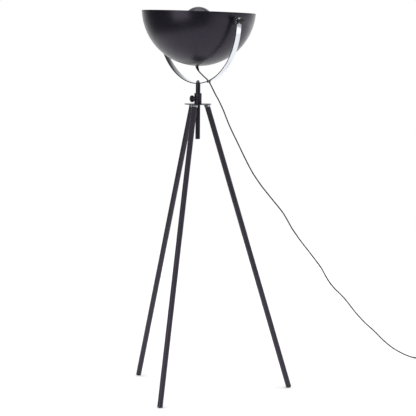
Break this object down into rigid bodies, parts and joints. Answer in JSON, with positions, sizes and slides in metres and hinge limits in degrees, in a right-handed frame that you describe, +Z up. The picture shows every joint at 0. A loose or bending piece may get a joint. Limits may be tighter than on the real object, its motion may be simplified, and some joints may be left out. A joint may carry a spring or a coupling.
{
  "type": "tripod floor lamp",
  "caption": "Tripod floor lamp with a half-round bowl uplighter that tilts in a flat chromed yoke on a height-adjustable pole, with its mains lead.",
  "frame": {"origin": "bottom centre of the lamp's box without its lead, on the floor; the pole axis is 62 mm from it along +X", "axes": "+Z up; +X along the shade's tilt axis, towards the side on which the lead leaves the yoke; +Y the way the lead runs off"},
  "size_m": [0.6766, 1.6622, 1.567],
  "materials": {
    "black_steel": "satin black powder coat",
    "leg_coat": "satin powder coat, a little greyer than the bowl's",
    "polished_steel": "polished chrome plate",
    "zinc_steel": "bright zinc plate",
    "black_plastic": "fine satin",
    "black_rubber": "matte",
    "lead_sheath": "soft satin PVC",
    "ceramic": "glazed white steatite",
    "brass": "bright",
    "nickel": "nickel plate",
    "opal_glass": "soft white, etched inside"
  },
  "bodies": {
    "tripod": {"hub_plate": "black_steel", "hub_sleeve": "leg_coat", "clamp_boss": "leg_coat", "sleeve_bush": "black_plastic", "leg_sockets": "polished_steel", "leg_inserts": "zinc_steel", "leg_tube_1": "leg_coat", "leg_tube_2": "leg_coat", "leg_tube_3": "leg_coat", "foot_cap_1": "black_plastic", "foot_cap_2": "black_plastic", "foot_cap_3": "black_plastic", "lead_run": "lead_sheath", "lead_coil": "lead_sheath", "coil_tie": "black_rubber", "lead_tail": "lead_sheath", "lead_end": "lead_sheath", "switch_base": "black_plastic", "switch_cover": "black_plastic", "switch_spring": "zinc_steel", "switch_contacts": "brass", "plug_body": "black_plastic", "plug_pins": "nickel"},
    "clamp_knob": {"clamp_knob": "black_plastic", "clamp_screw": "zinc_steel"},
    "pole": {"pole_tube": "black_steel", "pole_plug": "zinc_steel", "pole_cap": "black_plastic", "pan_stud": "zinc_steel", "pan_washers": "black_plastic", "acorn_nut": "polished_steel"},
    "yoke": {"yoke_strip": "polished_steel", "lead_grommet": "black_rubber"},
    "shade": {"shade_bowl": "black_steel", "pivot_cups": "black_plastic", "pivot_spacers": "polished_steel", "pivot_bolts": "zinc_steel", "saddle_washers": "black_steel", "pivot_nuts": "zinc_steel", "gland_collar": "black_steel", "lead_boot": "black_rubber", "holder_nipple": "zinc_steel", "nipple_nut": "zinc_steel", "holder_stem": "zinc_steel", "holder_cap": "black_plastic", "holder_insert": "ceramic", "holder_contact": "brass", "holder_shell": "brass", "holder_skirt": "black_plastic", "bulb_cap": "nickel", "bulb_glass": "opal_glass", "shield_star": "black_steel", "shield_rods": "black_steel", "shield_dome": "black_steel", "shield_screws": "zinc_steel", "lead_upper": "lead_sheath"},
    "pivot_knob_right": {"pivot_knob_right": "black_plastic"},
    "pivot_knob_left": {"pivot_knob_left": "black_plastic"},
    "switch_button": {"switch_button": "black_plastic"}
  },
  "joints": [
    {"name": "pole_slide", "type": "slide", "parent": "tripod", "child": "pole", "axis": [0, 0, 1], "range_m": [-0.034, 0.11], "deforming": ["lead_run"]},
    {"name": "clamp_turn", "type": "hinge", "parent": "tripod", "child": "clamp_knob", "pos_m": [0.062, 0, 1.197], "axis": [-0.0872, -0.9962, 0], "range_deg": [-180, 180]},
    {"name": "yoke_pan", "type": "hinge", "parent": "pole", "child": "yoke", "pos_m": [0.062, 0, 1.259], "axis": [0, 0, 1], "range_deg": [-135, 135], "deforming": ["lead_run"]},
    {"name": "shade_tilt", "type": "hinge", "parent": "yoke", "child": "shade", "pos_m": [0.062, 0, 1.512], "axis": [1, 0, 0], "range_deg": [-90, 90], "deforming": ["lead_upper"]},
    {"name": "right_knob_turn", "type": "hinge", "parent": "yoke", "child": "pivot_knob_right", "pos_m": [0.324, 0, 1.512], "axis": [1, 0, 0], "range_deg": [-180, 180]},
    {"name": "left_knob_turn", "type": "hinge", "parent": "yoke", "child": "pivot_knob_left", "pos_m": [-0.2, 0, 1.512], "axis": [-1, 0, 0], "range_deg": [-180, 180]},
    {"name": "switch_press", "type": "slide", "parent": "tripod", "child": "switch_button", "axis": [0, 0, -1], "range_m": [0, 0.003], "stiffness_N_per_m": 300, "springref_m": -0.002, "deforming": ["switch_spring"]}
  ]
}
